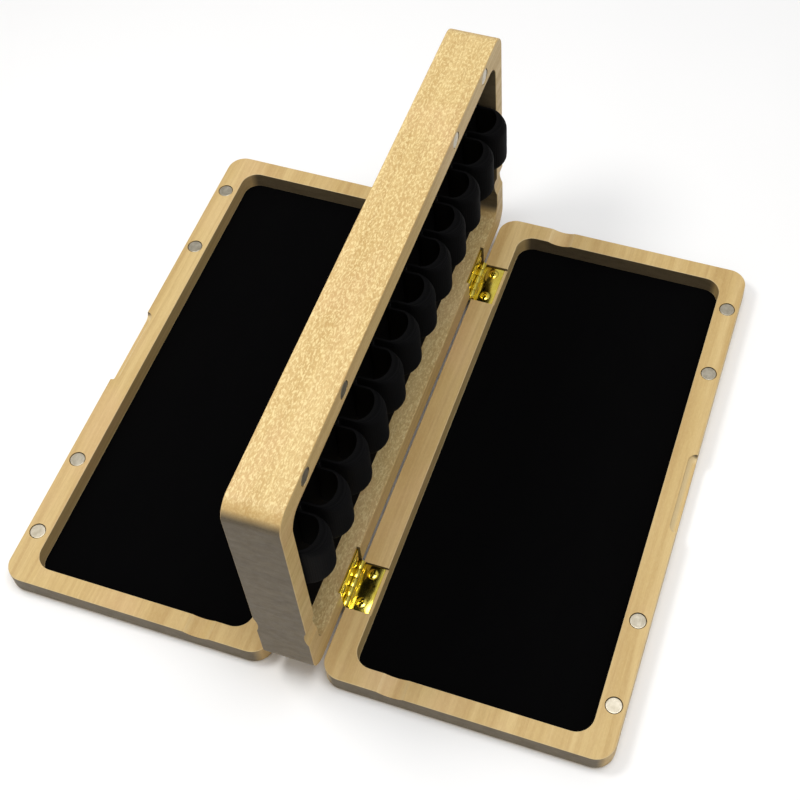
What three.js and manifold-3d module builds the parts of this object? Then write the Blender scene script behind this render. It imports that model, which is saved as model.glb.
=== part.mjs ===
// Folding case for twenty-four fountain pens. A deep middle leaf stands on its spine edge and
// carries twelve sewn loops on each face; a shallow tray-like cover is hinged to each side of it.
// Millimetres, +Z up. The case stands open: both covers lie flat on the table at z = 0, the middle
// leaf rises between them, +Y runs along the spine and the origin is under the leaf's centre.
import * as THREE from "three";
import { mergeVertices } from "three/addons/utils/BufferGeometryUtils.js";
import Module from "manifold-3d";

// overall sizes
const CASE_LENGTH = 360;
const LEAF_HEIGHT = 174; // spine edge to free edge, the same on all three leaves
const MIDDLE_THICK = 32;
const COVER_THICK = 15;
const CORNER_RADIUS = 12;
const COVER_EDGE_ROUND = 2.5;

// rails round the openings
const END_RAIL = 12.3;
const FREE_RAIL = 15.6;
const SPINE_RAIL = 16.2;
const OPENING_RADIUS = 11;
const COVER_FLOOR = 2.5;

// hinges
const CLOSED_GAP = 0.4; // between the rims of two closed leaves
const PIN_OFFSET = 0.7; // pin axis outside the spine edges
const HINGE_LENGTH = 31;
const HINGE_FROM_END = 60; // hinge centre from each end
const KNUCKLES = 5;
const KNUCKLE_RADIUS = 2.5;
const KNUCKLE_GAP = 0.2;
const PIN_RADIUS = 1.2;
const PIN_CLEARANCE = 0.06;
const PLATE_THICK = 1.2;
const PLATE_REACH = 13.4; // from the spine edge across the rail
const MORTISE_DEPTH = KNUCKLE_RADIUS - CLOSED_GAP / 2; // the knuckles just clear its floor
const MORTISE_END_GAP = 0.4;
const SEAT_GAP = 0.05; // under plates and magnets

// screws
const SCREW_SPACING = 19.7;
const SCREW_REACH = 8.1;
const SCREW_RADIUS = 1.5;
const SCREW_DEPTH = 8;
const SCREW_TIP = 1.5;
const HEAD_RADIUS = 3.1;
const HEAD_HEIGHT = 1.1;
const CROSS_WIDTH = 0.8;
const CROSS_LENGTH = 3.4;
const CROSS_DEPTH = 0.6;
const SCREW_CLEARANCE = 0.1;

// magnets
const MAGNET_RADIUS = 5;
const MAGNET_THICK = 3;
const MAGNET_SEAT_RADIUS = 5.25;
const MAGNET_SINK = 0.25;
const MAGNET_INSET = 7.4; // centre from the free edge
const MAGNETS_FROM_END = [34, 88.4];

// finger notches and end grooves
const NOTCH_RADIUS = 5;
const NOTCH_LENGTH = 58;
const GROOVE_CENTRE = 44; // from the spine edge
const GROOVE_WIDTH = 17;
const GROOVE_DEPTH = 2;

// divider, linings and pen loops
const BOARD_THICK = 4;
const BOARD_SLOT_DEPTH = 3;
const BOARD_SLOT_GAP = 0.3;
const LINING_THICK = 1;
const LINING_GAP = 0.1;
const LINING_EDGE_GAP = 0.3;
const LOOPS_PER_SIDE = 12;
const LOOP_RISE = 11.2; // loops stand this far out of the middle leaf's rim, if they have room
const LOOP_CLEARANCE = 0.6; // to the lining of a closed cover
const LOOP_SEAM = 3.95; // sewn strip between neighbouring loops
const LOOP_THICK = 1.6;
const LOOP_FLAT = 1.2;
const BAND_HEIGHT = 35;
const BAND_CENTRE = 103; // above the middle leaf's spine edge

// positions that follow from the sizes
const HALF_LENGTH = CASE_LENGTH / 2;
const HINGE_Y = HALF_LENGTH - HINGE_FROM_END;
const MAGNET_Y = [
  ...MAGNETS_FROM_END.map((d) => d - HALF_LENGTH),
  ...MAGNETS_FROM_END.map((d) => HALF_LENGTH - d).reverse(),
];
const RIM_X = MIDDLE_THICK / 2;
const AXIS_X = RIM_X + CLOSED_GAP / 2;
const AXIS_Z = COVER_THICK + CLOSED_GAP / 2;
const COVER_SPINE_X = AXIS_X + PIN_OFFSET;
const COVER_FREE_X = COVER_SPINE_X + LEAF_HEIGHT;
const LEAF_BOTTOM_Z = AXIS_Z + PIN_OFFSET;
const GROOVE_RADIUS = GROOVE_WIDTH ** 2 / (8 * GROOVE_DEPTH) + GROOVE_DEPTH / 2;

const wasm = await Module();
wasm.setup();

const material = (color, roughness, metalness) =>
  new THREE.MeshStandardMaterial({ color, roughness, metalness });
const MAPLE = material(0xcfae74, 0.55, 0);
const VELVET = material(0x0c0b0c, 0.95, 0);
const WEBBING = material(0x111013, 0.85, 0);
const BRASS = material(0xd8a83a, 0.22, 1);
const NICKEL = material(0x9a9a98, 0.35, 1);

function toSolid(geometry) {
  const bare = geometry.clone();
  bare.deleteAttribute("normal");
  bare.deleteAttribute("uv");
  const merged = mergeVertices(bare, 1e-4);
  const triangles = [];
  for (let i = 0; i < merged.index.count; i += 3) {
    const [a, b, c] = [0, 1, 2].map((k) => merged.index.getX(i + k));
    if (a !== b && b !== c && c !== a) triangles.push(a, b, c);
  }
  return new wasm.Manifold(new wasm.Mesh({
    numProp: 3,
    vertProperties: new Float32Array(merged.attributes.position.array),
    triVerts: new Uint32Array(triangles),
  }));
}

function toGeometry(solid) {
  const mesh = solid.getMesh();
  const geometry = new THREE.BufferGeometry();
  geometry.setAttribute("position",
    new THREE.BufferAttribute(Float32Array.from(mesh.vertProperties), 3));
  geometry.setIndex(new THREE.BufferAttribute(Uint32Array.from(mesh.triVerts), 1));
  geometry.computeVertexNormals();
  return geometry;
}

function named(name, geometry, look, parent) {
  const mesh = new THREE.Mesh(geometry, look);
  mesh.name = name;
  parent.add(mesh);
  return mesh;
}

function cut(solid, tools) {
  return tools.reduce((rest, tool) => rest.subtract(toSolid(tool)), solid);
}

function roundedRect(u0, u1, v0, v1, radius) {
  const shape = new THREE.Shape();
  shape.absarc(u1 - radius, v0 + radius, radius, -Math.PI / 2, 0);
  shape.absarc(u1 - radius, v1 - radius, radius, 0, Math.PI / 2);
  shape.absarc(u0 + radius, v1 - radius, radius, Math.PI / 2, Math.PI);
  shape.absarc(u0 + radius, v0 + radius, radius, Math.PI, Math.PI * 1.5);
  shape.closePath();
  return shape;
}

function flatSlab(shape, z0, z1, segments = 6) {
  const options = { depth: z1 - z0, bevelEnabled: false, curveSegments: segments };
  return new THREE.ExtrudeGeometry(shape, options).translate(0, 0, z0);
}

// a slab whose outline lies in the YZ plane and whose thickness runs along X
const STAND_UP = new THREE.Matrix4().makeBasis(
  new THREE.Vector3(0, 1, 0), new THREE.Vector3(0, 0, 1), new THREE.Vector3(1, 0, 0));
function standingSlab(shape, x0, x1, segments = 6) {
  const options = { depth: x1 - x0, bevelEnabled: false, curveSegments: segments };
  return new THREE.ExtrudeGeometry(shape, options).applyMatrix4(STAND_UP).translate(x0, 0, 0);
}

function block(x0, x1, y0, y1, z0, z1) {
  return new THREE.BoxGeometry(x1 - x0, y1 - y0, z1 - z0)
    .translate((x0 + x1) / 2, (y0 + y1) / 2, (z0 + z1) / 2);
}

// round bar along Y, X or Z, centred on x, y, z
const barY = (radius, length, segments, x, y, z) =>
  new THREE.CylinderGeometry(radius, radius, length, segments).translate(x, y, z);
const barX = (radius, length, segments, x, y, z) =>
  new THREE.CylinderGeometry(radius, radius, length, segments)
    .rotateZ(Math.PI / 2).translate(x, y, z);
const barZ = (radius, length, segments, x, y, z) =>
  new THREE.CylinderGeometry(radius, radius, length, segments)
    .rotateX(Math.PI / 2).translate(x, y, z);

const hingeSpots = [-HINGE_Y, HINGE_Y];
const screwSpots = [-SCREW_SPACING / 2, SCREW_SPACING / 2];
const mortiseHalf = HINGE_LENGTH / 2 + MORTISE_END_GAP;
const holeRadius = SCREW_RADIUS + SCREW_CLEARANCE;
const holeDepth = SCREW_DEPTH + SCREW_TIP + 0.3;

function coverSolid() {
  const outline = roundedRect(COVER_SPINE_X, COVER_FREE_X, -HALF_LENGTH, HALF_LENGTH, CORNER_RADIUS);
  const rounded = new THREE.ExtrudeGeometry(outline, {
    depth: COVER_THICK, curveSegments: 6, bevelEnabled: true, bevelSegments: 2,
    bevelThickness: COVER_EDGE_ROUND, bevelSize: COVER_EDGE_ROUND, bevelOffset: -COVER_EDGE_ROUND,
  }).translate(0, 0, COVER_EDGE_ROUND);
  const tools = [
    block(0, 300, -300, 300, COVER_THICK, 60),
    flatSlab(roundedRect(COVER_SPINE_X + SPINE_RAIL, COVER_FREE_X - FREE_RAIL,
      -HALF_LENGTH + END_RAIL, HALF_LENGTH - END_RAIL, OPENING_RADIUS), COVER_FLOOR, 60),
    barY(GROOVE_RADIUS, CASE_LENGTH + 20, 40, COVER_SPINE_X + GROOVE_CENTRE, 0,
      COVER_THICK - GROOVE_DEPTH + GROOVE_RADIUS),
    new THREE.CapsuleGeometry(NOTCH_RADIUS, NOTCH_LENGTH - 2 * NOTCH_RADIUS, 4, 16)
      .translate(COVER_FREE_X, 0, COVER_THICK),
  ];
  for (const y of MAGNET_Y) {
    const depth = MAGNET_SINK + MAGNET_THICK + SEAT_GAP;
    tools.push(barZ(MAGNET_SEAT_RADIUS, 2 * depth, 20, COVER_FREE_X - MAGNET_INSET, y, COVER_THICK));
  }
  for (const y of hingeSpots) {
    tools.push(block(COVER_SPINE_X - 5, COVER_SPINE_X + SPINE_RAIL + 5, y - mortiseHalf,
      y + mortiseHalf, COVER_THICK - MORTISE_DEPTH, 60));
    for (const dy of screwSpots) {
      tools.push(barZ(holeRadius, 2 * holeDepth, 10, COVER_SPINE_X + SCREW_REACH, y + dy,
        COVER_THICK - MORTISE_DEPTH));
    }
  }
  return cut(toSolid(rounded), tools);
}

const openingZ0 = LEAF_BOTTOM_Z + SPINE_RAIL;
const openingZ1 = LEAF_BOTTOM_Z + LEAF_HEIGHT - FREE_RAIL;
const openingY = HALF_LENGTH - END_RAIL;
const opening = (grow) => roundedRect(-openingY - grow, openingY + grow, openingZ0 - grow,
  openingZ1 + grow, OPENING_RADIUS + grow);
const boardSlotHalf = BOARD_THICK / 2 + BOARD_SLOT_GAP;

function middleSolid() {
  const outline = roundedRect(-HALF_LENGTH, HALF_LENGTH, LEAF_BOTTOM_Z,
    LEAF_BOTTOM_Z + LEAF_HEIGHT, CORNER_RADIUS);
  const tools = [
    standingSlab(opening(0), -60, 60),
    standingSlab(opening(BOARD_SLOT_DEPTH), -boardSlotHalf, boardSlotHalf),
  ];
  for (const side of [-1, 1]) {
    tools.push(barY(GROOVE_RADIUS, CASE_LENGTH + 20, 40,
      side * (RIM_X - GROOVE_DEPTH + GROOVE_RADIUS), 0, LEAF_BOTTOM_Z + GROOVE_CENTRE));
    for (const y of MAGNET_Y) {
      const depth = MAGNET_SINK + MAGNET_THICK + SEAT_GAP;
      tools.push(barX(MAGNET_SEAT_RADIUS, 2 * depth, 20, side * RIM_X, y,
        LEAF_BOTTOM_Z + LEAF_HEIGHT - MAGNET_INSET));
    }
    for (const y of hingeSpots) {
      const floor = side * (RIM_X - MORTISE_DEPTH);
      tools.push(block(Math.min(floor, side * 40), Math.max(floor, side * 40), y - mortiseHalf,
        y + mortiseHalf, LEAF_BOTTOM_Z - 5, LEAF_BOTTOM_Z + SPINE_RAIL + 5));
      for (const dy of screwSpots) {
        tools.push(barX(holeRadius, 2 * holeDepth, 10, floor, y + dy,
          LEAF_BOTTOM_Z + SCREW_REACH));
      }
    }
  }
  return cut(toSolid(standingSlab(outline, -RIM_X, RIM_X)), tools);
}

// One hinge leaf about its pin, which is the Y axis here. The plate lies on the mortise floor
// below the pin and runs out along +X; own lists the knuckles that belong to this leaf.
const pitch = HINGE_LENGTH / KNUCKLES;
const knuckleY = (k) => -HINGE_LENGTH / 2 + (k + 0.5) * pitch;
function leafSolid(own) {
  const low = -(CLOSED_GAP / 2 + MORTISE_DEPTH - SEAT_GAP);
  let leaf = toSolid(block(0, PIN_OFFSET + PLATE_REACH, -HINGE_LENGTH / 2, HINGE_LENGTH / 2,
    low, low + PLATE_THICK));
  for (let k = 0; k < KNUCKLES; k += 1) {
    if (own.includes(k)) {
      leaf = leaf.add(toSolid(barY(KNUCKLE_RADIUS, pitch - KNUCKLE_GAP, 16, 0, knuckleY(k), 0)));
    } else {
      leaf = leaf.subtract(toSolid(barY(KNUCKLE_RADIUS + 0.25, pitch + KNUCKLE_GAP, 16, 0,
        knuckleY(k), 0)));
    }
  }
  const tools = [barY(PIN_RADIUS + PIN_CLEARANCE, HINGE_LENGTH + 4, 16, 0, 0, 0)];
  for (const dy of screwSpots) {
    tools.push(barZ(holeRadius, 10, 10, PIN_OFFSET + SCREW_REACH, dy, low));
  }
  return cut(leaf, tools);
}

// Round-headed cross-slot wood screw, head up along +Y, seated at y = 0.
function screwSolid() {
  const profile = [[0, -SCREW_DEPTH - SCREW_TIP], [SCREW_RADIUS, -SCREW_DEPTH],
    [SCREW_RADIUS, 0], [HEAD_RADIUS, 0]];
  for (const angle of [30, 62]) {
    const a = THREE.MathUtils.degToRad(angle);
    profile.push([HEAD_RADIUS * Math.cos(a), HEAD_HEIGHT * Math.sin(a)]);
  }
  profile.push([0, HEAD_HEIGHT]);
  const body = new THREE.LatheGeometry(profile.map(([r, h]) => new THREE.Vector2(r, h)), 10);
  const top = HEAD_HEIGHT - CROSS_DEPTH;
  return cut(toSolid(body), [
    block(-CROSS_LENGTH / 2, CROSS_LENGTH / 2, top, top + 3, -CROSS_WIDTH / 2, CROSS_WIDTH / 2),
    block(-CROSS_WIDTH / 2, CROSS_WIDTH / 2, top, top + 3, -CROSS_LENGTH / 2, CROSS_LENGTH / 2),
  ]);
}

// One long band: twelve arches sewn down between their feet, as a section in XY.
const bandX = BOARD_THICK / 2 + 2 * LINING_GAP + LINING_THICK;
const loopPitch = 2 * openingY / LOOPS_PER_SIDE;
function bandGeometry() {
  const outer = (loopPitch - LOOP_SEAM) / 2;
  const inner = outer - LOOP_THICK;
  const room = COVER_THICK + CLOSED_GAP - COVER_FLOOR - LINING_GAP - LINING_THICK;
  const crown = RIM_X + Math.min(LOOP_RISE, room - LOOP_CLEARANCE) - outer;
  const end = openingY - LINING_EDGE_GAP;
  const front = [];
  const back = [];
  for (let i = 0; i < LOOPS_PER_SIDE; i += 1) {
    const y = -openingY + (i + 0.5) * loopPitch;
    front.push([bandX + LOOP_FLAT, y - outer]);
    back.push([bandX, y - inner]);
    for (let s = 0; s <= 8; s += 1) {
      const a = Math.PI * (s / 8);
      front.push([crown + outer * Math.sin(a), y - outer * Math.cos(a)]);
      back.push([crown + inner * Math.sin(a), y - inner * Math.cos(a)]);
    }
    front.push([bandX + LOOP_FLAT, y + outer]);
    back.push([bandX, y + inner]);
  }
  const outline = [[bandX, -end], [bandX + LOOP_FLAT, -end], ...front,
    [bandX + LOOP_FLAT, end], [bandX, end], ...back.reverse()];
  const shape = new THREE.Shape(outline.map(([x, y]) => new THREE.Vector2(x, y)));
  const z0 = LEAF_BOTTOM_Z + BAND_CENTRE - BAND_HEIGHT / 2;
  return flatSlab(shape, z0, z0 + BAND_HEIGHT);
}

const group = new THREE.Group();
named("middle_frame", toGeometry(middleSolid()), MAPLE, group);
named("divider_board", standingSlab(opening(BOARD_SLOT_DEPTH - BOARD_SLOT_GAP),
  -BOARD_THICK / 2, BOARD_THICK / 2), MAPLE, group);

const shared = {
  cover: toGeometry(coverSolid()),
  coverLining: flatSlab(roundedRect(COVER_SPINE_X + SPINE_RAIL + LINING_EDGE_GAP,
    COVER_FREE_X - FREE_RAIL - LINING_EDGE_GAP, -openingY + LINING_EDGE_GAP,
    openingY - LINING_EDGE_GAP, OPENING_RADIUS - LINING_EDGE_GAP),
    COVER_FLOOR + LINING_GAP, COVER_FLOOR + LINING_GAP + LINING_THICK),
  dividerLining: standingSlab(opening(-LINING_EDGE_GAP), BOARD_THICK / 2 + LINING_GAP,
    BOARD_THICK / 2 + LINING_GAP + LINING_THICK),
  band: bandGeometry(),
  coverLeaf: toGeometry(leafSolid([0, 2, 4])),
  middleLeaf: toGeometry(leafSolid([1, 3])),
  pin: new THREE.CylinderGeometry(PIN_RADIUS, PIN_RADIUS, HINGE_LENGTH, 16),
  screw: toGeometry(screwSolid()),
  magnet: new THREE.CylinderGeometry(MAGNET_RADIUS, MAGNET_RADIUS, MAGNET_THICK, 20),
};
const plateTop = MORTISE_DEPTH - PLATE_THICK - SEAT_GAP; // below the rim
const headSeat = plateTop - SEAT_GAP;
const magnetMid = MAGNET_SINK + MAGNET_THICK / 2;

// The left half is the right half turned half a turn about the vertical centre line.
for (const [side, turn] of [["right", 1], ["left", -1]]) {
  const half = new THREE.Group();
  half.rotation.z = turn > 0 ? 0 : Math.PI;
  group.add(half);
  named(`${side}_cover`, shared.cover, MAPLE, half);
  named(`${side}_cover_lining`, shared.coverLining, VELVET, half);
  named(`${side}_divider_lining`, shared.dividerLining, VELVET, half);
  named(`${side}_loop_band`, shared.band, WEBBING, half);
  MAGNET_Y.forEach((y, i) => {
    const onCover = named(`${side}_cover_magnet_${i + 1}`, shared.magnet, NICKEL, half);
    onCover.position.set(COVER_FREE_X - MAGNET_INSET, turn * y, COVER_THICK - magnetMid);
    onCover.rotation.x = Math.PI / 2;
    const onMiddle = named(`${side}_middle_magnet_${i + 1}`, shared.magnet, NICKEL, half);
    onMiddle.position.set(RIM_X - magnetMid, turn * y,
      LEAF_BOTTOM_Z + LEAF_HEIGHT - MAGNET_INSET);
    onMiddle.rotation.z = Math.PI / 2;
  });
  [["near", -1], ["far", 1]].forEach(([place, along]) => {
    const hinge = new THREE.Group();
    hinge.position.set(AXIS_X, turn * along * HINGE_Y, AXIS_Z);
    half.add(hinge);
    named(`${side}_${place}_hinge_cover_leaf`, shared.coverLeaf, BRASS, hinge);
    const middleLeaf = named(`${side}_${place}_hinge_middle_leaf`, shared.middleLeaf, BRASS, hinge);
    middleLeaf.rotation.set(0, -Math.PI / 2, Math.PI, "ZYX");
    named(`${side}_${place}_hinge_pin`, shared.pin, BRASS, hinge);
    [["a", -1], ["b", 1]].forEach(([tag, step]) => {
      const dy = turn * step * SCREW_SPACING / 2;
      const inCover = named(`${side}_${place}_cover_screw_${tag}`, shared.screw, BRASS, hinge);
      inCover.position.set(PIN_OFFSET + SCREW_REACH, dy, -CLOSED_GAP / 2 - headSeat);
      inCover.rotation.x = Math.PI / 2;
      const inMiddle = named(`${side}_${place}_middle_screw_${tag}`, shared.screw, BRASS, hinge);
      inMiddle.position.set(-CLOSED_GAP / 2 - headSeat, dy, PIN_OFFSET + SCREW_REACH);
      inMiddle.rotation.z = -Math.PI / 2;
    });
  });
}

export default group;
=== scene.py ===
"""Folding wooden case for fountain pens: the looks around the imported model.

Lengths are metres in the model's own frame: +X across, +Y along the spine, +Z up.
"""
import math

import bmesh
import bpy
from mathutils import Matrix, Vector


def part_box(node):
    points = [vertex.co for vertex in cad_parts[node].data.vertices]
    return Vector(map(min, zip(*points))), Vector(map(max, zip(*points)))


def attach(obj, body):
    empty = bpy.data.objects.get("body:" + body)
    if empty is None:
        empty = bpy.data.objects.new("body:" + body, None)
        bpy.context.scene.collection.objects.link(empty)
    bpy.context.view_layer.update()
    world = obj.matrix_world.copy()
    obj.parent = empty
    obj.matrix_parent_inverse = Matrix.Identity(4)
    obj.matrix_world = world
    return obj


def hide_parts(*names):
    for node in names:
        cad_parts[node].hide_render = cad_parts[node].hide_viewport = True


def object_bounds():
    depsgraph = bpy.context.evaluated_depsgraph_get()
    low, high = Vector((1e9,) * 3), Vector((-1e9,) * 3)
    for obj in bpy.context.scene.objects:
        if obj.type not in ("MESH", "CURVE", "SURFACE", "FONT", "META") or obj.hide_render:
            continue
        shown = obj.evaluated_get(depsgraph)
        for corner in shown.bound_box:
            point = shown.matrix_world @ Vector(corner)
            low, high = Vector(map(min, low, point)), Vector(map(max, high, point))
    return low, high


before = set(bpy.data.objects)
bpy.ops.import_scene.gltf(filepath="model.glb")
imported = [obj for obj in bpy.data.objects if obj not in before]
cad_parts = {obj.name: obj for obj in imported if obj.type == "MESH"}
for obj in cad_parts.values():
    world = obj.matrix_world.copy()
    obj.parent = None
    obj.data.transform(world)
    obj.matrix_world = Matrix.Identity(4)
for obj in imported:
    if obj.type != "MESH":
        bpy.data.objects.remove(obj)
cad_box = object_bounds()
MM = 0.001
HALF_TURN = Matrix.Rotation(math.pi, 4, "Z")  # carries a right-hand piece to the left-hand side


# ---------------------------------------------------------------- camera and light
def look(obj, right, up, back, where):
    """Places an object by its own three axes."""
    obj.matrix_world = Matrix((
        (right[0], up[0], back[0], where[0]),
        (right[1], up[1], back[1], where[1]),
        (right[2], up[2], back[2], where[2]),
        (0, 0, 0, 1),
    ))


def add_camera():
    data = bpy.data.cameras.new("camera")
    data.lens, data.sensor_width = 66.771, 36
    data.shift_x, data.shift_y = -0.03611, -0.05864
    data.clip_end = 20
    cam = bpy.data.objects.new("camera", data)
    bpy.context.scene.collection.objects.link(cam)
    look(cam, (0.944392, 0.325632, -0.04569), (-0.241079, 0.780168, 0.577251),
         (0.223617, -0.534136, 0.815288), (0.22415, -0.47196, 0.81655))
    bpy.context.scene.camera = cam


def add_area(name, where, target, size, power, color=(1, 1, 1)):
    data = bpy.data.lights.new(name, "AREA")
    data.shape, data.size, data.energy, data.color = "DISK", size, power, color
    lamp = bpy.data.objects.new(name, data)
    bpy.context.scene.collection.objects.link(lamp)
    lamp.location = where
    lamp.rotation_euler = (Vector(target) - Vector(where)).to_track_quat("-Z", "Y").to_euler()


def add_world():
    """A grey studio sky, pale at the horizon and overhead and darker between."""
    world = bpy.data.worlds.new("studio")
    bpy.context.scene.world = world
    world.use_nodes = True
    t = world.node_tree
    t.nodes.clear()
    coord = t.nodes.new("ShaderNodeTexCoord")
    split = t.nodes.new("ShaderNodeSeparateXYZ")
    ramp = t.nodes.new("ShaderNodeValToRGB")
    back = t.nodes.new("ShaderNodeBackground")
    out = t.nodes.new("ShaderNodeOutputWorld")
    t.links.new(coord.outputs["Generated"], split.inputs[0])
    t.links.new(split.outputs["Z"], ramp.inputs[0])
    t.links.new(ramp.outputs[0], back.inputs[0])
    t.links.new(back.outputs[0], out.inputs[0])
    ramp.color_ramp.elements[0].position = 0.0
    ramp.color_ramp.elements[0].color = (0.85, 0.85, 0.85, 1)
    ramp.color_ramp.elements[1].position = 0.8
    ramp.color_ramp.elements[1].color = (1, 1, 1, 1)
    middle = ramp.color_ramp.elements.new(0.22)
    middle.color = (0.30, 0.30, 0.31, 1)
    back.inputs[1].default_value = 0.62


add_camera()
add_world()
add_area("key", (-0.36, -0.10, 0.9), (0, 0, 0.05), 0.26, 2.9, (1, 0.98, 0.945))
add_area("top", (0.32, -0.1, 1.8), (0, 0, 0), 1.0, 16)
bpy.context.scene.view_settings.view_transform = "Standard"


# ---------------------------------------------------------------- materials
MIX_FACTOR, MIX_A, MIX_B, MIX_RESULT = 0, 6, 7, 2  # colour sockets of a Mix node


class Nodes:
    """Short names for building one material's node tree."""

    def __init__(self, name):
        self.material = bpy.data.materials.new(name)
        self.material.use_nodes = True
        self.tree = self.material.node_tree
        self.shader = self.tree.nodes["Principled BSDF"]

    def add(self, kind, **values):
        node = self.tree.nodes.new("ShaderNode" + kind)
        for key, value in values.items():
            if hasattr(node, key):
                setattr(node, key, value)
            else:
                node.inputs[key.replace("_", " ")].default_value = value
        return node

    def link(self, a, b):
        self.tree.links.new(a, b)

    def coords(self, output="Object", scale=(1, 1, 1), rotation=(0, 0, 0)):
        coord, mapping = self.add("TexCoord"), self.add("Mapping")
        mapping.inputs["Scale"].default_value = scale
        mapping.inputs["Rotation"].default_value = rotation
        self.link(coord.outputs[output], mapping.inputs[0])
        return mapping.outputs[0]

    def noise(self, vector, scale, detail=3.0, rough=0.5, distort=0.0):
        node = self.add("TexNoise", Scale=scale, Detail=detail, Roughness=rough,
                        Distortion=distort)
        self.link(vector, node.inputs["Vector"])
        return node.outputs["Fac"]

    def math(self, operation, a, b=None):
        node = self.add("Math", operation=operation)
        for i, value in enumerate((a, b)):
            if value is None:
                continue
            if isinstance(value, (int, float)):
                node.inputs[i].default_value = value
            else:
                self.link(value, node.inputs[i])
        return node.outputs[0]

    def ramp(self, fac, stops):
        """Stops are places with a colour or a plain value."""
        node = self.add("ValToRGB")
        self.link(fac, node.inputs[0])
        while len(node.color_ramp.elements) < len(stops):
            node.color_ramp.elements.new(0.5)
        for element, (place, color) in zip(node.color_ramp.elements, stops):
            element.position = place
            element.color = (*color, 1) if hasattr(color, "__len__") else (color,) * 3 + (1,)
        return node.outputs[0]

    def mix(self, fac, a, b):
        node = self.add("Mix", data_type="RGBA")
        for index, value in ((MIX_FACTOR, fac), (MIX_A, a), (MIX_B, b)):
            socket = node.inputs[index]
            if isinstance(value, (int, float)):
                socket.default_value = value
            elif isinstance(value, tuple):
                socket.default_value = (*value, 1)
            else:
                self.link(value, socket)
        return node.outputs[MIX_RESULT]

    def bump(self, height, strength, distance):
        node = self.add("Bump", Strength=strength, Distance=distance)
        self.link(height, node.inputs["Height"])
        self.link(node.outputs[0], self.shader.inputs["Normal"])

    def set(self, **values):
        """Constants or links on the shader's own sockets."""
        for key, value in values.items():
            socket = self.shader.inputs[key.replace("_", " ")]
            if isinstance(value, tuple):
                socket.default_value = (*value, 1)
            elif isinstance(value, (int, float)):
                socket.default_value = value
            else:
                self.link(value, socket)


def wood_material(name, flecked, round_tone, round_share):
    """Oiled maple with its grain along Y.

    flecked is how strongly the ray flecks show; the rounded edges take round_share of round_tone,
    a painted highlight where that tone is paler than the wood.
    """
    n = Nodes(name)
    broad = n.noise(n.coords(scale=(1, 0.07, 1)), 62, 3, 0.5, 0.8)
    figure = n.noise(n.coords(scale=(1, 0.035, 1)), 240, 4, 0.62, 0.5)
    fibre = n.noise(n.coords(scale=(1, 0.03, 1)), 2600, 2, 0.5)
    cloud = n.noise(n.coords(scale=(1, 0.6, 1)), 24, 2, 0.5, 0.4)
    tone = n.ramp(broad, [(0.30, (0.50, 0.335, 0.13)), (0.48, (0.585, 0.415, 0.175)),
                          (0.70, (0.655, 0.485, 0.225))])
    tone = n.mix(n.ramp(figure, [(0.42, 0.0), (0.68, 0.55)]), tone, (0.43, 0.265, 0.10))
    tone = n.mix(n.ramp(fibre, [(0.38, 0.0), (0.75, 0.20)]), tone, (0.38, 0.24, 0.09))
    tone = n.mix(n.ramp(cloud, [(0.52, 0.0), (0.75, 0.35)]), tone, (0.66, 0.43, 0.24))
    coord = n.add("TexCoord")
    split = n.add("SeparateXYZ")
    n.link(coord.outputs["Normal"], split.inputs[0])
    # level faces show short slanting ray flecks, pale between darker marks
    level = n.ramp(n.math("ABSOLUTE", split.outputs["Z"]), [(0.35, 0.25), (0.8, 1.0)])
    pale = n.noise(n.coords(scale=(1, 0.42, 1), rotation=(0, 0, 0.5)), 980, 2, 0.55, 0.6)
    dark = n.noise(n.coords(scale=(1, 0.36, 1), rotation=(0, 0, 0.35)), 1250, 2, 0.6, 0.8)
    pale_share = n.math("MULTIPLY", n.ramp(pale, [(0.46, 0.0), (0.62, 1.0)]), level)
    dark_share = n.math("MULTIPLY", n.ramp(dark, [(0.52, 0.0), (0.66, 1.0)]), level)
    tone = n.mix(n.math("MULTIPLY", pale_share, 0.58 * flecked), tone, (0.85, 0.71, 0.37))
    tone = n.mix(n.math("MULTIPLY", dark_share, 0.42 * flecked), tone, (0.40, 0.26, 0.09))
    # rounded edges lie between level and upright faces; there the tone leans to round_tone, a
    # painted highlight on the covers' edges, and a little darker on the middle frame's edges
    rounding = n.ramp(n.math("ABSOLUTE", split.outputs["Z"]),
                      [(0.2, 0.0), (0.45, round_share), (0.85, round_share), (0.97, 0.0)])
    tone = n.mix(rounding, tone, round_tone)
    # the ends of the boards are end grain: browner and speckled with pores, and painted far
    # darker than that as well, painted shade on the faces that look along Y
    end = n.ramp(n.math("ABSOLUTE", split.outputs["Y"]), [(0.72, 0.0), (0.95, 1.0)])
    pores = n.noise(n.coords(scale=(1, 0.4, 1)), 1500, 2, 0.6)
    rings = n.noise(n.coords(scale=(0.35, 0.2, 1.3)), 240, 2, 0.5, 0.8)
    end_grain_painted_shade_tone = n.ramp(rings, [(0.3, (0.120, 0.090, 0.050)), (0.7, (0.160, 0.122, 0.070))])
    end_grain_painted_shade_tone = n.mix(n.ramp(pores, [(0.52, 0.0), (0.68, 0.5)]), end_grain_painted_shade_tone, (0.08, 0.058, 0.03))
    # the end-grain tone carries painted shade for the end faces and the pockets' end walls
    n.set(Base_Color=n.mix(end, tone, end_grain_painted_shade_tone),
          Roughness=n.ramp(figure, [(0.3, 0.42), (0.7, 0.58)]),
          Specular_IOR_Level=0.22, Coat_Weight=0.04, Coat_Roughness=0.4)
    height = n.math("ADD", n.math("MULTIPLY", fibre, 0.5), n.math("MULTIPLY", figure, 0.4))
    height = n.math("ADD", height, n.math("MULTIPLY", pale_share, 0.5 * flecked))
    n.bump(height, 0.25, 0.00022)
    return n.material


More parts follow.
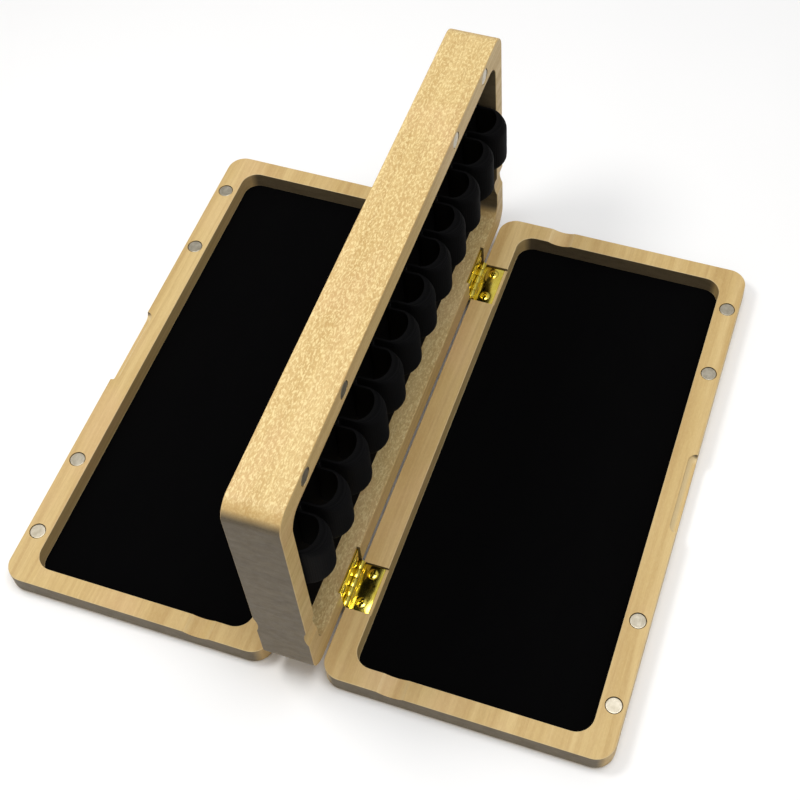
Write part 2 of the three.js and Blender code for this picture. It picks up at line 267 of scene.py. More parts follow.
def velvet_material():
    n = Nodes("velvet")
    nap = n.noise(n.coords(), 3800, 3, 0.7)
    brushed = n.noise(n.coords(scale=(1, 0.5, 1)), 60, 3, 0.55, 0.5)
    tone = n.mix(n.ramp(nap, [(0.3, 0.0), (0.75, 1.0)]), (0.0006, 0.0006, 0.0007),
                 (0.0022, 0.0021, 0.0023))
    tone = n.mix(n.ramp(brushed, [(0.4, 0.0), (0.7, 0.5)]), tone, (0.0016, 0.0016, 0.0017))
    n.set(Base_Color=tone, Roughness=n.ramp(nap, [(0.2, 0.92), (0.8, 1.0)]),
          Specular_IOR_Level=0.03, Sheen_Weight=0.012, Sheen_Roughness=0.35,
          Sheen_Tint=(0.35, 0.34, 0.36))
    n.bump(n.math("ADD", nap, n.math("MULTIPLY", brushed, 0.8)), 0.5, 0.0004)
    return n.material


def webbing_material():
    n = Nodes("webbing")
    ribs = n.add("TexWave", wave_type="BANDS", bands_direction="Y", Scale=1.0,
                 Distortion=0.35, Detail=1.0, Detail_Scale=0.6)
    n.link(n.coords("UV", scale=(400, 330, 1)), ribs.inputs["Vector"])
    picks = n.add("TexWave", wave_type="BANDS", bands_direction="X", Scale=1.0,
                  Distortion=0.5, Detail=1.0, Detail_Scale=0.6)
    n.link(n.coords("UV", scale=(260, 300, 1)), picks.inputs["Vector"])
    fuzz = n.noise(n.coords(), 4200, 2, 0.6)
    weave = n.math("ADD", n.math("MULTIPLY", ribs.outputs["Fac"], 0.65),
                   n.math("MULTIPLY", picks.outputs["Fac"], 0.35))
    tone = n.mix(weave, (0.0006, 0.0006, 0.0007), (0.0030, 0.0029, 0.0033))
    tone = n.mix(n.ramp(fuzz, [(0.5, 0.0), (0.75, 0.6)]), tone, (0.0052, 0.0050, 0.0056))
    n.set(Base_Color=tone, Roughness=n.ramp(weave, [(0.0, 0.86), (1.0, 0.66)]),
          Specular_IOR_Level=0.07, Sheen_Weight=0.012, Sheen_Roughness=0.4,
          Sheen_Tint=(0.4, 0.4, 0.42))
    n.bump(n.math("ADD", weave, n.math("MULTIPLY", fuzz, 0.3)), 0.6, 0.00022)
    return n.material


def thread_material():
    n = Nodes("thread")
    twist = n.add("TexWave", wave_type="BANDS", bands_direction="DIAGONAL", Scale=900,
                  Distortion=0.4)
    n.link(n.coords(), twist.inputs["Vector"])
    n.set(Base_Color=n.mix(twist.outputs["Fac"], (0.008, 0.008, 0.009), (0.022, 0.021, 0.023)),
          Roughness=n.ramp(twist.outputs["Fac"], [(0.0, 0.5), (1.0, 0.38)]),
          Specular_IOR_Level=0.4)
    n.bump(twist.outputs["Fac"], 0.4, 0.0001)
    return n.material


def brass_material():
    n = Nodes("brass")
    cloud = n.noise(n.coords(), 160, 4, 0.6)
    grainy = n.noise(n.coords(scale=(1, 0.08, 1)), 2600, 2, 0.5)
    pits = n.noise(n.coords(), 1900, 3, 0.7)
    tone = n.ramp(cloud, [(0.3, (0.80, 0.60, 0.07)), (0.55, (0.93, 0.76, 0.13)),
                          (0.8, (0.97, 0.84, 0.22))])
    tone = n.mix(n.ramp(pits, [(0.62, 0.0), (0.75, 0.55)]), tone, (0.42, 0.25, 0.05))
    rough = n.math("ADD", n.ramp(cloud, [(0.3, 0.07), (0.75, 0.14)]),
                   n.math("MULTIPLY", grainy, 0.05))
    n.set(Base_Color=tone, Metallic=1.0, Roughness=rough)
    n.bump(n.math("ADD", grainy, n.math("MULTIPLY", pits, 0.5)), 0.05, 0.00005)
    return n.material


def nickel_material():
    n = Nodes("nickel")
    turned = n.noise(n.coords(), 1800, 3, 0.6)
    cloud = n.noise(n.coords(), 260, 3, 0.55)
    scratch = n.noise(n.coords(scale=(1, 0.05, 0.05)), 3200, 1, 0.5)
    tone = n.ramp(cloud, [(0.3, (0.42, 0.375, 0.285)), (0.7, (0.60, 0.55, 0.445))])
    tone = n.mix(n.ramp(scratch, [(0.62, 0.0), (0.7, 0.4)]), tone, (0.28, 0.26, 0.22))
    n.set(Base_Color=tone, Metallic=1.0,
          Roughness=n.ramp(turned, [(0.3, 0.30), (0.75, 0.46)]))
    n.bump(n.math("ADD", turned, scratch), 0.12, 0.0001)
    return n.material


def floor_material():
    n = Nodes("studio_floor")
    cloud = n.noise(n.coords(), 9, 3, 0.5)
    n.set(Base_Color=n.ramp(cloud, [(0.3, 0.90), (0.7, 0.91)]),
          Roughness=n.ramp(cloud, [(0.3, 0.85), (0.7, 0.9)]), Specular_IOR_Level=0.1)
    return n.material


# the covers' pale round_tone paints a highlight along their rounded edges
WOOD = wood_material("maple", 0.12, (0.80, 0.665, 0.40), 0.45)
EDGE_WOOD = wood_material("maple_flecked", 1.0, (0.52, 0.33, 0.12), 0.5)
VELVET, WEBBING = velvet_material(), webbing_material()
THREAD, BRASS, NICKEL = thread_material(), brass_material(), nickel_material()


# ---------------------------------------------------------------- mesh helpers
SMALLEST_CORNER = 0.2 * MM
NOTCH_SIDES = 48
ALONG_Y = Matrix.Rotation(math.pi / 2, 4, "X")
ALONG_X = Matrix.Rotation(math.pi / 2, 4, "Y")


def finish_mesh(bm, name, sharp=35):
    """The mesh of bm, smooth but for edges of more than sharp degrees."""
    bmesh.ops.recalc_face_normals(bm, faces=bm.faces)
    mesh = bpy.data.meshes.new(name)
    bm.to_mesh(mesh)
    bm.free()
    mesh.shade_smooth()
    mesh.set_sharp_from_angle(angle=math.radians(sharp))
    return mesh


def add_object(name, mesh):
    obj = bpy.data.objects.new(name, mesh)
    bpy.context.scene.collection.objects.link(obj)
    return obj


def paint(obj, material):
    obj.data.materials.clear()
    obj.data.materials.append(material)


def piece(name, mesh, material, slot, body, *nodes):
    """One visible piece that rides a body and stands for the CAD nodes named."""
    obj = add_object(name, mesh)
    paint(obj, material)
    if nodes:
        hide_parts(*nodes)
    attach(obj, body)
    return obj


def turned(mesh, matrix, name):
    """A moved copy of a mesh."""
    other = mesh.copy()
    other.name = name
    other.transform(matrix)
    return other


def rounded(u0, u1, v0, v1, r, grow=0.0, corner=10, straight=12):
    """Points round a rectangle with round corners; the count is the same for every size."""
    u0, u1, v0, v1 = u0 - grow, u1 + grow, v0 - grow, v1 + grow
    r = max(r + grow, SMALLEST_CORNER)
    points = []
    for cu, cv, a0 in ((u1 - r, v0 + r, -90), (u1 - r, v1 - r, 0),
                       (u0 + r, v1 - r, 90), (u0 + r, v0 + r, 180)):
        arc = [(cu + r * math.cos(math.radians(a0 + 90 * i / corner)),
                cv + r * math.sin(math.radians(a0 + 90 * i / corner)))
               for i in range(corner + 1)]
        if points:
            points += between(points[-1], arc[0], straight)
        points += arc
    return points + between(points[-1], points[0], straight)


def between(a, b, count):
    """The inner points that split a straight run into count parts."""
    return [(a[0] + (b[0] - a[0]) * i / count, a[1] + (b[1] - a[1]) * i / count)
            for i in range(1, count)]


def skin(rings, closed=False):
    """Quads between rings of points; the ends are capped unless the rings close on themselves."""
    bm = bmesh.new()
    made = [[bm.verts.new(p) for p in ring] for ring in rings]
    pairs = list(zip(made, made[1:])) + ([(made[-1], made[0])] if closed else [])
    for a, b in pairs:
        for i in range(len(a)):
            j = (i + 1) % len(a)
            bm.faces.new((a[i], a[j], b[j], b[i]))
    if not closed:
        bm.faces.new(made[0][::-1])
        bm.faces.new(made[-1])
    return bm


def arc_steps(count):
    """Angles of a quarter turn in count steps."""
    return [math.pi / 2 * i / count for i in range(count + 1)]


def bar(bm, radius, length, matrix, segments):
    """A round bar along the matrix's own Z."""
    bmesh.ops.create_cone(bm, cap_ends=True, segments=segments, radius1=radius,
                          radius2=radius, depth=length, matrix=matrix)


def boxed(bm, lo, hi):
    """A box between two corners."""
    centre = Matrix.Translation([(a + b) / 2 for a, b in zip(lo, hi)])
    size = Matrix.Diagonal([b - a for a, b in zip(lo, hi)] + [1])
    bmesh.ops.create_cube(bm, size=1, matrix=centre @ size)


def tube(bm, rings, sides, centre):
    """Joined rings of points about a line along Y; each ring is a distance and a radius."""
    turns = [2 * math.pi * k / sides for k in range(sides)]
    x0, y0, z0 = centre
    made = [[bm.verts.new((x0 + r * math.cos(t), y0 + y, z0 + r * math.sin(t))) for t in turns]
            for y, r in rings]
    for a, b in zip(made, made[1:]):
        for i in range(sides):
            j = (i + 1) % sides
            bm.faces.new((a[i], b[i], b[j], a[j]))
    return made


def capsule(bm, radius, half, centre):
    """A round-ended bar along Y."""
    steps = arc_steps(10)[1:]
    rings = [(-half - radius * math.cos(a), radius * math.sin(a)) for a in steps]
    rings += [(-y, r) for y, r in reversed(rings)]
    made = tube(bm, rings, NOTCH_SIDES, centre)
    for ring, y in ((made[0], -half - radius), (made[-1], half + radius)):
        tip = bm.verts.new((centre[0], centre[1] + y, centre[2]))
        for i in range(NOTCH_SIDES):
            bm.faces.new((tip, ring[i], ring[(i + 1) % NOTCH_SIDES]))


def carve(mesh, cutter, name, sharp=35):
    """mesh with the cutter taken away."""
    a, b = add_object("carved", mesh), add_object("cutter", finish_mesh(cutter, "cutter"))
    step = a.modifiers.new("cut", "BOOLEAN")
    step.operation, step.solver, step.object = "DIFFERENCE", "EXACT", b
    graph = bpy.context.evaluated_depsgraph_get()
    done = bpy.data.meshes.new_from_object(a.evaluated_get(graph))
    done.name = name
    done.shade_smooth()
    done.set_sharp_from_angle(angle=math.radians(sharp))
    for obj in (a, b):
        bpy.data.objects.remove(obj)
    return done


def weighted(obj):
    """Lets the broad faces keep their flat shading beside the rounded edges."""
    step = obj.modifiers.new("normals", "WEIGHTED_NORMAL")
    step.keep_sharp, step.weight = True, 80


# ---------------------------------------------------------------- wood
EDGE = 0.6 * MM  # rounding of the rims' edges
FOOT, FOOT_LEVEL = 2.5 * MM, 2 * MM  # rounding of a cover's outer face, level run beside it
CORNER = 12 * MM  # outer corners of every leaf
INSIDE = 11 * MM  # corners of the trays and of the middle leaf's opening
STRAIGHT = 0.4 * MM  # straight run kept beside a rounded edge
LEVEL = 0.5 * MM  # level run kept beside a rounded edge
WALL_GAP = 0.3 * MM  # between a lining and the wood round it
BED = 0.1 * MM  # under a cover's lining
TRAY_FILLET = 0.8 * MM
BOARD_SLOT, BOARD_SLOT_DEPTH = 2.3 * MM, 3 * MM  # half width and depth of the divider's groove
MORTISE, MORTISE_PLAY = 2.3 * MM, 0.4 * MM  # depth of a hinge's mortise, play at its ends
# the mortise's cutter runs past the spine, the lining's edge and the rim by these
MORTISE_OUT, MORTISE_IN, MORTISE_CLEAR = 5 * MM, 3 * MM, 9 * MM
SEAT_RADIUS, SEAT_PLAY, SEAT_SIDES = 5.25 * MM, 0.05 * MM, 48  # bores round the magnets
NOTCH_RADIUS, NOTCH_HALF = 5 * MM, 24 * MM  # of the finger notch in a cover's free edge
GROOVE_DEPTH, GROOVE_WIDTH, GROOVE_SIDES = 2 * MM, 17 * MM, 160
GROOVE_RADIUS = GROOVE_WIDTH ** 2 / (8 * GROOVE_DEPTH) + GROOVE_DEPTH / 2
GROOVE_FROM_SPINE = 44 * MM  # the shallow dips in both end rims
GROOVE_OVERRUN = 20 * MM
MAGNETS = 4  # on each rim


def hinge_spans():
    """Where the two mortises of a spine run in Y."""
    for place in ("near", "far"):
        lo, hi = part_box(f"right_{place}_hinge_pin")
        yield lo[1] - MORTISE_PLAY, hi[1] + MORTISE_PLAY


def magnet_seat(bm, node, axis, rim):
    """A bar that bores a magnet's seat; the rim is its mouth's place on the axis."""
    lo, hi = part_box(node)
    middle = [(a + b) / 2 for a, b in zip(lo, hi)]
    depth = abs(rim - (lo[axis] if rim > 0 else hi[axis])) + SEAT_PLAY
    middle[axis] = rim
    turn = ALONG_X if axis == 0 else Matrix()
    bar(bm, SEAT_RADIUS, 2 * depth, Matrix.Translation(middle) @ turn, SEAT_SIDES)


def groove(bm, x, z, length):
    """A bar along Y about x, z that cuts a wide shallow groove across both ends."""
    bar(bm, GROOVE_RADIUS, length + GROOVE_OVERRUN, Matrix.Translation((x, 0, z)) @ ALONG_Y,
        GROOVE_SIDES)


def cover_mesh():
    """The right cover: a shallow tray with its mortises, seats, finger notch and grooves."""
    (x0, y0, z0), (x1, y1, z1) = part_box("right_cover")
    (px0, py0, pz0), (px1, py1, _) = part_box("right_cover_lining")
    floor = pz0 - BED

    def outline(inset, z):
        return [(u, v, z) for u, v in rounded(x0, x1, y0, y1, CORNER, -inset)]

    def pocket(grow, z):
        return [(u, v, z) for u, v in rounded(px0 - WALL_GAP, px1 + WALL_GAP, py0 - WALL_GAP,
                                              py1 + WALL_GAP, INSIDE, grow)]

    rings = [outline(FOOT + FOOT_LEVEL, z0)]
    rings += [outline(FOOT * (1 - math.sin(a)), z0 + FOOT * (1 - math.cos(a)))
              for a in arc_steps(6)]
    rings.append(outline(0, z0 + FOOT + STRAIGHT))
    rings.append(outline(0, z1 - EDGE - STRAIGHT))
    rings += [outline(EDGE * (1 - math.cos(a)), z1 - EDGE + EDGE * math.sin(a))
              for a in arc_steps(4)]
    rings.append(outline(EDGE + LEVEL, z1))
    rings.append(pocket(EDGE + LEVEL, z1))
    rings += [pocket(EDGE * (1 - math.sin(a)), z1 - EDGE * (1 - math.cos(a)))
              for a in arc_steps(4)]
    rings.append(pocket(0, floor + TRAY_FILLET))
    rings += [pocket(-TRAY_FILLET * (1 - math.cos(a)), floor + TRAY_FILLET * (1 - math.sin(a)))
              for a in arc_steps(3)]
    mesh = finish_mesh(skin(rings), "cover")

    cutter = bmesh.new()
    for a, b in hinge_spans():
        boxed(cutter, (x0 - MORTISE_OUT, a, z1 - MORTISE),
              (px0 + MORTISE_IN, b, z1 + MORTISE_CLEAR))
    for i in range(MAGNETS):
        magnet_seat(cutter, f"right_cover_magnet_{i + 1}", 2, z1)
    capsule(cutter, NOTCH_RADIUS, NOTCH_HALF, (x1, 0, z1))
    groove(cutter, x0 + GROOVE_FROM_SPINE, z1 - GROOVE_DEPTH + GROOVE_RADIUS, y1 - y0)
    return carve(mesh, cutter, "cover_wood")


def middle_mesh():
    """The frame of the middle leaf, grooved inside for the divider board."""
    (_, y0, z0), (x1, y1, z1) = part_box("middle_frame")
    (_, py0, pz0), (_, py1, pz1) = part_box("right_divider_lining")

    def outline(inset, x):
        return [(x, u, v) for u, v in rounded(y0, y1, z0, z1, CORNER, -inset)]

    def opening(grow, x):
        return [(x, u, v) for u, v in rounded(py0 - WALL_GAP, py1 + WALL_GAP, pz0 - WALL_GAP,
                                              pz1 + WALL_GAP, INSIDE, grow)]

    half = [opening(BOARD_SLOT_DEPTH, BOARD_SLOT), opening(0, BOARD_SLOT),
            opening(0, x1 - EDGE - STRAIGHT)]
    half += [opening(EDGE * (1 - math.cos(a)), x1 - EDGE + EDGE * math.sin(a))
             for a in arc_steps(4)]
    half += [opening(EDGE + LEVEL, x1), outline(EDGE + LEVEL, x1)]
    half += [outline(EDGE * (1 - math.sin(a)), x1 - EDGE * (1 - math.cos(a)))
             for a in arc_steps(4)]
    half.append(outline(0, x1 - EDGE - STRAIGHT))
    rings = half + [[(-x, u, v) for x, u, v in ring] for ring in reversed(half)]
    mesh = finish_mesh(skin(rings, closed=True), "middle")

    cutter = bmesh.new()
    for side in (1, -1):
        for a, b in hinge_spans():
            xs = sorted((side * (x1 - MORTISE), side * (x1 + MORTISE_CLEAR)))
            boxed(cutter, (xs[0], a, z0 - MORTISE_OUT), (xs[1], b, pz0 + MORTISE_IN))
        for i in range(MAGNETS):
            name = ("right" if side > 0 else "left") + f"_middle_magnet_{i + 1}"
            magnet_seat(cutter, name, 0, side * x1)
        groove(cutter, side * (x1 - GROOVE_DEPTH + GROOVE_RADIUS), z0 + GROOVE_FROM_SPINE,
               y1 - y0)
    return carve(mesh, cutter, "middle_wood")


cover = cover_mesh()
weighted(piece("right_cover_wood", cover, WOOD, "maple", "right_cover", "right_cover"))
weighted(piece("left_cover_wood", turned(cover, HALF_TURN, "left_cover_wood"), WOOD, "maple",
               "left_cover", "left_cover"))
weighted(piece("middle_frame_wood", middle_mesh(), EDGE_WOOD, "maple", "middle_leaf",
               "middle_frame"))
paint(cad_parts["divider_board"], WOOD)


# ---------------------------------------------------------------- linings
LINING_CORNER = INSIDE - 0.3 * MM
LINING_POINTS = (8, 16)  # on each corner and on each straight run
LINING_INSETS = (3, 6, 12, 20, 30, 42, 54, 66)  # mm, of the rings of points across the sheet
ROLL_STEPS = 6
DIP = 0.10 * MM


def lining_mesh(lo, hi, name, standing):
    """A thin velvet sheet with rolled edges and a faint unevenness, lying or standing."""
    u0, v0, w0 = (lo[1], lo[2], lo[0]) if standing else (lo[0], lo[1], lo[2])
    u1, v1, w1 = (hi[1], hi[2], hi[0]) if standing else (hi[0], hi[1], hi[2])
    roll = (w1 - w0) / 2

    def place(u, v, w):
        return (w, u, v) if standing else (u, v, w)

    rings = []
    for a in [math.pi * i / ROLL_STEPS for i in range(ROLL_STEPS + 1)]:
        w = w0 + roll * (1 - math.cos(a))
        inset = roll * (1 - math.sin(a))
        rings.append([place(u, v, w) for u, v in
                      rounded(u0, u1, v0, v1, LINING_CORNER, -inset, *LINING_POINTS)])
    for inset in LINING_INSETS:
        ring = []
        for u, v in rounded(u0, u1, v0, v1, LINING_CORNER, -inset * MM, *LINING_POINTS):
            dip = DIP * (1 + math.sin(u * 210 + v * 95) * math.cos(v * 160 - u * 60)) / 2
            ring.append(place(u, v, w1 - dip))
        rings.append(ring)
    return finish_mesh(skin(rings), name, 60)


def add_lining(name, side, node, body, standing, matrix):
    lo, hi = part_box("right_" + node)
    mesh = lining_mesh(lo, hi, name, standing)
    mesh.transform(matrix)
    obj = piece(name, mesh, VELVET, "velvet", body, f"{side}_{node}")


for side, matrix in (("right", Matrix()), ("left", HALF_TURN)):
    add_lining(f"{side}_cover_velvet", side, "cover_lining", f"{side}_cover", False,
               matrix)
    add_lining(f"{side}_divider_velvet", side, "divider_lining", "middle_leaf", True,
               matrix)


# ---------------------------------------------------------------- pen loops
LOOPS = 12
SEAM = 3.95 * MM  # clear space between two loops
WEB = 1.6 * MM  # thickness of the band
BAND_OVER = 0.3 * MM  # the loops are spaced over the node's length and this much at each end
BAND_INSET = 0.2 * MM  # the band's own ends lie this far inside the node
BACK = 0.75 * MM  # the seams' centre line above the node's underside
BEND, BEND_STEPS = 1.3 * MM, 3  # rounding at each loop's foot
CROWN_STEPS = 24
SAG, LEAN, WAVE = 0.25 * MM, 0.35 * MM, 0.12 * MM  # unevenness of the loops
LIP_CORNER = 6 * MM  # rounding of the loops' upper and lower edges
THIN_EDGE = 0.55  # the band's thickness at its very edges
# rows of points from the band's lower edge to its middle, as shares of half its height
LOWER_LEVELS = [-1, -0.985, -0.96, -0.92, -0.87, -0.8, -0.74, -0.6, -0.4, -0.2, 0]


def band_span(lo, hi):
    """Where the loops start in Y, and the distance between two of them."""
    start = lo[1] - BAND_OVER
    return start, (hi[1] + BAND_OVER - start) / LOOPS


def band_path(lo, hi):
    """Centre line of the band in XY, where its seams lie in X, and how far its loops rise."""
    start, pitch = band_span(lo, hi)
    radius = (pitch - SEAM - WEB) / 2
    foot = lo[0] + BACK
    crown = hi[0] - WEB / 2 - radius
    turns = arc_steps(BEND_STEPS)
    path = [(foot, lo[1] + BAND_INSET)]
    for i in range(LOOPS):
        y = start + (i + 0.5) * pitch
        sag = SAG * abs(math.sin(2.1 * i + 0.4))
        lean = LEAN * math.sin(3.7 * i + 1.1)
        path += [(foot + BEND * (1 - math.cos(a)), y - radius - BEND * (1 - math.sin(a)))
                 for a in turns]
        path += [(foot + BEND + (crown - foot - BEND) * k / 3, y - radius) for k in (1, 2)]
        for k in range(CROWN_STEPS + 1):
            a = math.pi * k / CROWN_STEPS
            path.append((crown + (radius - sag) * math.sin(a),
                         y - radius * math.cos(a) + lean * math.sin(a)))
        path += [(foot + BEND + (crown - foot - BEND) * k / 3, y + radius) for k in (2, 1)]
        path += [(foot + BEND * (1 - math.cos(a)), y + radius + BEND * (1 - math.sin(a)))
                 for a in reversed(turns)]
    path.append((foot, hi[1] - BAND_INSET))
    return path, foot, hi[0] - foot


def band_mesh(name):
    """The band of loops, with the distance along it and across it as UV, and its length."""
    lo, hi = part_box("right_loop_band")
    path, foot, rise = band_path(lo, hi)
    half, mid = (hi[2] - lo[2]) / 2, (hi[2] + lo[2]) / 2
    levels = LOWER_LEVELS + [-v for v in LOWER_LEVELS[-2::-1]]
    run, total = [0.0], 0.0
    for a, b in zip(path, path[1:]):
        total += math.dist(a, b)
        run.append(total)
    normals = []
    for i in range(len(path)):
        a, b = path[max(i - 1, 0)], path[min(i + 1, len(path) - 1)]
        d = math.dist(a, b)
        normals.append(((b[1] - a[1]) / d, -(b[0] - a[0]) / d))
    bm = bmesh.new()
    uv = bm.loops.layers.uv.new("UVMap")
    sides = []
    for face in (1, -1):
        grid = []
        for level in levels:
            z = mid + level * half
            past = max(0.0, (abs(level) * half - (half - LIP_CORNER)) / LIP_CORNER)
            keep = 1 - LIP_CORNER / rise * (1 - math.sqrt(max(0.0, 1 - past * past)))
            thin = THIN_EDGE if abs(level) == 1 else 1.0
            row = []
            for (x, y), (nx, ny) in zip(path, normals):
                lift = x - foot
                wave = WAVE * math.sin(y * 900 + z * 260) * min(lift / rise, 1)
                x_out = foot + lift * keep + face * nx * WEB / 2 * thin - abs(wave)
                row.append(bm.verts.new((x_out, y + face * ny * WEB / 2 * thin, z)))
            grid.append(row)
        sides.append(grid)

    def face_of(corners, marks):
        made = bm.faces.new(corners)
        for loop, mark in zip(made.loops, marks):
            loop[uv].uv = mark

    for grid in sides:
        for j in range(len(levels) - 1):
            for i in range(len(path) - 1):
                v0, v1 = levels[j] * half, levels[j + 1] * half
                face_of((grid[j][i], grid[j][i + 1], grid[j + 1][i + 1], grid[j + 1][i]),
                        ((run[i], v0), (run[i + 1], v0), (run[i + 1], v1), (run[i], v1)))
    front, back = sides
    for j in (0, len(levels) - 1):
        for i in range(len(path) - 1):
            v = levels[j] * half
            face_of((front[j][i], front[j][i + 1], back[j][i + 1], back[j][i]),
                    ((run[i], v), (run[i + 1], v), (run[i + 1], v), (run[i], v)))
    for i in (0, len(path) - 1):
        for j in range(len(levels) - 1):
            v = levels[j] * half
            face_of((front[j][i], front[j + 1][i], back[j + 1][i], back[j][i]),
                    ((run[i], v),) * 4)
    return finish_mesh(bm, name, 60), total


STITCHES = 14  # down each seam
THREAD_RADIUS, THREAD_HALF = 0.30 * MM, 1.15 * MM
THREAD_SINK, THREAD_SLANT = 0.28 * MM, 0.15 * MM
THREAD_RINGS, THREAD_SIDES = 7, 8
END_MARGIN = 1.0 * MM  # keeps the first and last seams on the band


def stitch_mesh(name):
    """Short threads that sew the band down along every seam between two loops."""
    lo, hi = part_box("right_loop_band")
    start, pitch = band_span(lo, hi)
    end = hi[1] + BAND_OVER
    x = lo[0] + BACK + WEB / 2
    turns = [2 * math.pi * m / THREAD_SIDES for m in range(THREAD_SIDES)]
    bm = bmesh.new()
    for i in range(LOOPS + 1):
        y = min(max(start + i * pitch, start + END_MARGIN), end - END_MARGIN)
        for k in range(STITCHES):
            z = lo[2] + (k + 0.5) * (hi[2] - lo[2]) / STITCHES
            made = []
            for step in range(THREAD_RINGS):
                t = -1 + 2 * step / (THREAD_RINGS - 1)
                r = THREAD_RADIUS * (1 - 0.75 * t ** 4)
                sink = THREAD_SINK * t ** 4
                made.append([bm.verts.new((x - sink + r * math.cos(turn),
                                           y + THREAD_SLANT * t + r * math.sin(turn),
                                           z + THREAD_HALF * t)) for turn in turns])
            for a, b in zip(made, made[1:]):
                for m in range(THREAD_SIDES):
                    n = (m + 1) % THREAD_SIDES
                    bm.faces.new((a[m], a[n], b[n], b[m]))
            bm.faces.new(made[0][::-1])
            bm.faces.new(made[-1])
    return finish_mesh(bm, name, 60)


band, band_length = band_mesh("right_loops")
stitches = stitch_mesh("right_loop_stitches")
for side, matrix in (("right", Matrix()), ("left", HALF_TURN)):
    strap = piece(f"{side}_loops", turned(band, matrix, f"{side}_loops"), WEBBING, "webbing",
                  "middle_leaf", f"{side}_loop_band")
    piece(f"{side}_loop_stitches", turned(stitches, matrix, f"{side}_loop_stitches"), THREAD,
          "webbing", "middle_leaf")


# ---------------------------------------------------------------- hinges, screws, magnets
HINGE_LENGTH, KNUCKLES, KNUCKLE_RADIUS = 31 * MM, 5, 2.5 * MM
KNUCKLE_GAP, KNUCKLE_CHAMFER = 0.4 * MM, 0.12 * MM
LEAF_LOW, LEAF_THICK, LEAF_REACH = -2.45 * MM, 1.2 * MM, 15.1 * MM  # from the pin
# the plate reaches in to the root beside its own knuckles and stays clear of the other leaf's
LEAF_ROOT, LEAF_CLEAR, COMB_GAP = 0.2 * MM, 2.6 * MM, 0.1 * MM
LEAF_BEVEL = 0.16 * MM
TURNED_SIDES, MAGNET_SIDES = 40, 56
SCREW_STAND = 1.1 * MM  # a screw head's top above its seat
SLOT_ANGLES = {"a": 0.5, "b": 1.1}  # how far each screw is turned


def raise_face(bm, outline, z, height):
    """A flat plate or prism from its outline."""
    face = bm.faces.new([bm.verts.new((x, y, z)) for x, y in outline])
    made = bmesh.ops.extrude_face_region(bm, geom=[face])["geom"]
    bmesh.ops.translate(bm, vec=(0, 0, height), verts=[v for v in made if hasattr(v, "co")])


def lathe(rings, sides, name):
    """A turned piece about Z from its rings, each a radius and a height in mm."""
    turns = [2 * math.pi * m / sides for m in range(sides)]
    return finish_mesh(skin([[(r * MM * math.cos(t), r * MM * math.sin(t), z * MM)
                              for t in turns] for r, z in rings]), name, 40)


def hinge_leaf(own, name):
    """One leaf about its pin: a comb-edged plate with rolled knuckles, pin along Y."""
    pitch = HINGE_LENGTH / KNUCKLES
    end = HINGE_LENGTH / 2
    outline = [(LEAF_REACH, -end), (LEAF_REACH, end)]
    for k in reversed(range(KNUCKLES)):
        inner, play = (LEAF_ROOT, COMB_GAP) if k in own else (LEAF_CLEAR, -COMB_GAP)
        outline += [(inner, min(-end + (k + 1) * pitch - play, end)),
                    (inner, max(-end + k * pitch + play, -end))]
    bm = bmesh.new()
    raise_face(bm, outline, LEAF_LOW, LEAF_THICK)
    bmesh.ops.bevel(bm, geom=list(bm.edges), offset=LEAF_BEVEL, segments=3, affect="EDGES",
                    profile=0.5, clamp_overlap=True)
    half, radius, chamfer = (pitch - KNUCKLE_GAP) / 2, KNUCKLE_RADIUS, KNUCKLE_CHAMFER
    ease = chamfer * 0.3
    first = [(-half, radius - chamfer), (-half + ease, radius - ease), (-half + chamfer, radius)]
    sections = first + [(-y, r) for y, r in reversed(first)]
    for k in own:
        made = tube(bm, sections, TURNED_SIDES, (0, -end + (k + 0.5) * pitch, 0))
        bm.faces.new(made[0])
        bm.faces.new(made[-1][::-1])
    return finish_mesh(bm, name, 30)


def screw_mesh():
    """Domed head with a cross slot, seated at z = 0, and the top of its shank."""
    rings = [(1.5, -1.0), (1.5, 0.0), (3.42, 0.0), (3.5, 0.06)]
    rings += [(3.5 * math.cos(a), 0.06 + 1.02 * math.sin(a))
              for a in (math.radians(d) for d in (10, 20, 30, 42, 54, 66, 78))]
    body = lathe(rings, TURNED_SIDES, "screw")
    cutter = bmesh.new()
    arm, half = 1.75 * MM, 0.4 * MM
    cross = [(arm, -half), (arm, half), (half, half), (half, arm), (-half, arm), (-half, half),
             (-arm, half), (-arm, -half), (-half, -half), (-half, -arm), (half, -arm),
             (half, -half)]
    raise_face(cutter, cross, 0.42 * MM, 3 * MM)
    return carve(body, cutter, "screw_head", 40)


def magnet_mesh():
    """A disc about its own middle, rounded on top and chamfered below."""
    radius, half, chamfer = 4.85, 1.5, 0.3
    rings = [(radius - chamfer, -half), (radius, -half + chamfer), (radius, half - chamfer)]
    rings += [(radius - chamfer * (1 - math.cos(a)), half - chamfer * (1 - math.sin(a)))
              for a in arc_steps(4)[1:]]
    rings += [(r, half) for r in (4.2, 3.0, 1.5)]
    return lathe(rings, MAGNET_SIDES, "magnet")


def centre(node):
    """The middle of a CAD node's box."""
    lo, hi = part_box(node)
    return Vector([(a + b) / 2 for a, b in zip(lo, hi)])


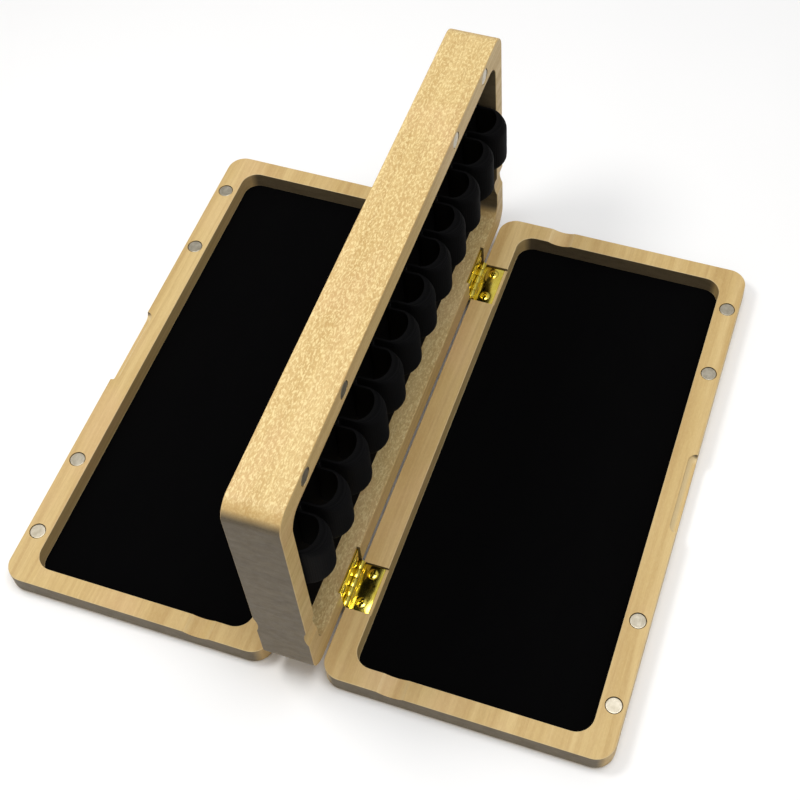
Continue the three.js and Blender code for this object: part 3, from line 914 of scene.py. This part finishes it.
cover_leaf, middle_leaf = hinge_leaf((0, 2, 4), "cover_leaf"), hinge_leaf((1, 3), "middle_leaf")
screw, magnet = screw_mesh(), magnet_mesh()
STAND = HALF_TURN @ Matrix.Rotation(-math.pi / 2, 4, "Y")  # a leaf laid flat, to upright
for side, sign, facing in (("right", 1, Matrix()), ("left", -1, HALF_TURN)):
    outward = Matrix.Rotation(sign * math.pi / 2, 4, "Y")
    for i in range(1, MAGNETS + 1):
        for host, body, turn in (("cover", f"{side}_cover", Matrix()),
                                 ("middle", "middle_leaf", outward)):
            node = f"{side}_{host}_magnet_{i}"
            spin = Matrix.Rotation(0.9 * i + sign, 4, "Z")
            place = Matrix.Translation(centre(node)) @ turn @ spin
            piece(node + "_disc", turned(magnet, place, node), NICKEL, "nickel", body, node)
    for where in ("near", "far"):
        at = Matrix.Translation(centre(f"{side}_{where}_hinge_pin")) @ facing
        for host, body, mesh, turn in (("cover", f"{side}_cover", cover_leaf, Matrix()),
                                       ("middle", "middle_leaf", middle_leaf, STAND)):
            node = f"{side}_{where}_hinge_{host}_leaf"
            piece(node + "_brass", turned(mesh, at @ turn, node), BRASS, "brass", body, node)
            for tag in "ab":
                node = f"{side}_{where}_{host}_screw_{tag}"
                lo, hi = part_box(node)
                seat = centre(node)
                if host == "cover":
                    seat.z, tilt = hi[2] - SCREW_STAND, Matrix()
                else:
                    seat.x = hi[0] - SCREW_STAND if sign > 0 else lo[0] + SCREW_STAND
                    tilt = outward
                slot_turn = Matrix.Rotation(SLOT_ANGLES[tag] + sign * 0.4, 4, "Z")
                place = Matrix.Translation(seat) @ tilt @ slot_turn
                piece(node + "_head", turned(screw, place, node), BRASS, "brass", body, node)
        paint(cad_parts[f"{side}_{where}_hinge_pin"], BRASS)


# ---------------------------------------------------------------- floor
FLOOR_GAP = 0.2 * MM
bm = bmesh.new()
bmesh.ops.create_grid(bm, x_segments=8, y_segments=8, size=12)
floor = add_object("studio_floor", finish_mesh(bm, "studio_floor"))
floor.location.z = cad_box[0][2] - FLOOR_GAP
floor.data.materials.append(floor_material())
